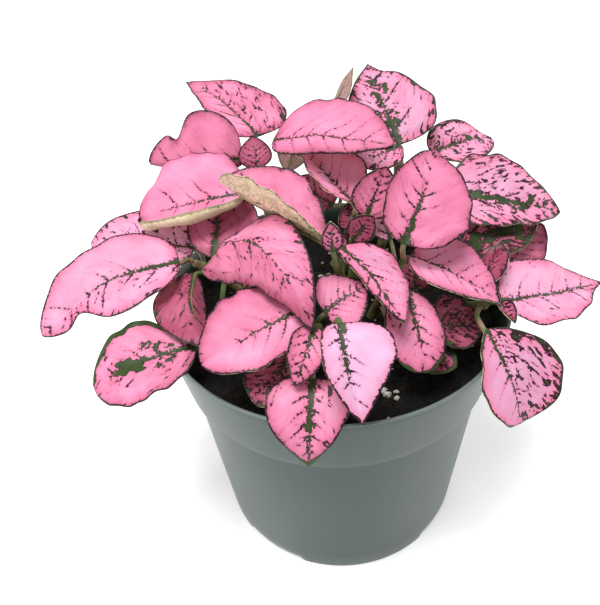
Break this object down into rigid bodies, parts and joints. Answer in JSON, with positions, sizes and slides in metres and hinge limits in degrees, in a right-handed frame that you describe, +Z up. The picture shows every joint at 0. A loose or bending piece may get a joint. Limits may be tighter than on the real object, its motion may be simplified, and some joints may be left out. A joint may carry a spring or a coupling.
{
  "type": "potted polka dot plant",
  "caption": "Bushy pink-leaved polka dot plant with dark green veins and specks, rooted in peat in a round tapered plastic nursery pot with a flared rim band.",
  "frame": {"origin": "on the surface the pot stands on, under the middle of the whole plant's bounding box; the centre of the pot's foot is 1.3 mm from it towards +X and 6.4 mm towards -Y", "axes": "+Z up along the pot's axis, -Y towards the plant's front, +X to its right seen from the front"},
  "size_m": [0.1701, 0.1306, 0.1424],
  "materials": {
    "pot_plastic": "satin grey-green injection-moulded polypropylene",
    "peat": "moist dark fibrous peat with white perlite grains",
    "stem": "soft green-brown plant stem",
    "leaf": "satin pink leaf blade with dark green veins, specks and margin, pale beneath"
  },
  "bodies": {
    "root": {"pot": "pot_plastic", "peat": "peat", "stem_front": "stem", "stem_middle": "stem", "stem_left": "stem", "stem_inner_left": "stem", "stem_back_left": "stem", "stem_centre": "stem", "stem_right": "stem", "stem_far_right": "stem", "stem_right_back": "stem", "stem_back_right": "stem", "stem_back": "stem", "leaf_front_1": "leaf", "leaf_front_2": "leaf", "leaf_front_3": "leaf", "leaf_front_4": "leaf", "leaf_front_5": "leaf", "leaf_front_6": "leaf", "leaf_middle_1": "leaf", "leaf_middle_2": "leaf", "leaf_middle_3": "leaf", "leaf_middle_4": "leaf", "leaf_left_1": "leaf", "leaf_left_2": "leaf", "leaf_left_3": "leaf", "leaf_left_4": "leaf", "leaf_inner_left_1": "leaf", "leaf_inner_left_2": "leaf", "leaf_back_left_1": "leaf", "leaf_back_left_2": "leaf", "leaf_back_left_3": "leaf", "leaf_back_left_4": "leaf", "leaf_centre_1": "leaf", "leaf_centre_2": "leaf", "leaf_centre_3": "leaf", "leaf_centre_4": "leaf", "leaf_centre_5": "leaf", "leaf_right_1": "leaf", "leaf_right_2": "leaf", "leaf_right_3": "leaf", "leaf_right_4": "leaf", "leaf_right_5": "leaf", "leaf_right_6": "leaf", "leaf_far_right_1": "leaf", "leaf_far_right_2": "leaf", "leaf_far_right_3": "leaf", "leaf_far_right_4": "leaf", "leaf_far_right_5": "leaf", "leaf_right_back_1": "leaf", "leaf_right_back_2": "leaf", "leaf_right_back_3": "leaf", "leaf_back_right_1": "leaf", "leaf_back_right_2": "leaf", "leaf_back_right_3": "leaf", "leaf_back_right_4": "leaf", "leaf_back_1": "leaf", "leaf_back_2": "leaf", "leaf_back_3": "leaf", "leaf_back_4": "leaf"}
  },
  "joints": []
}
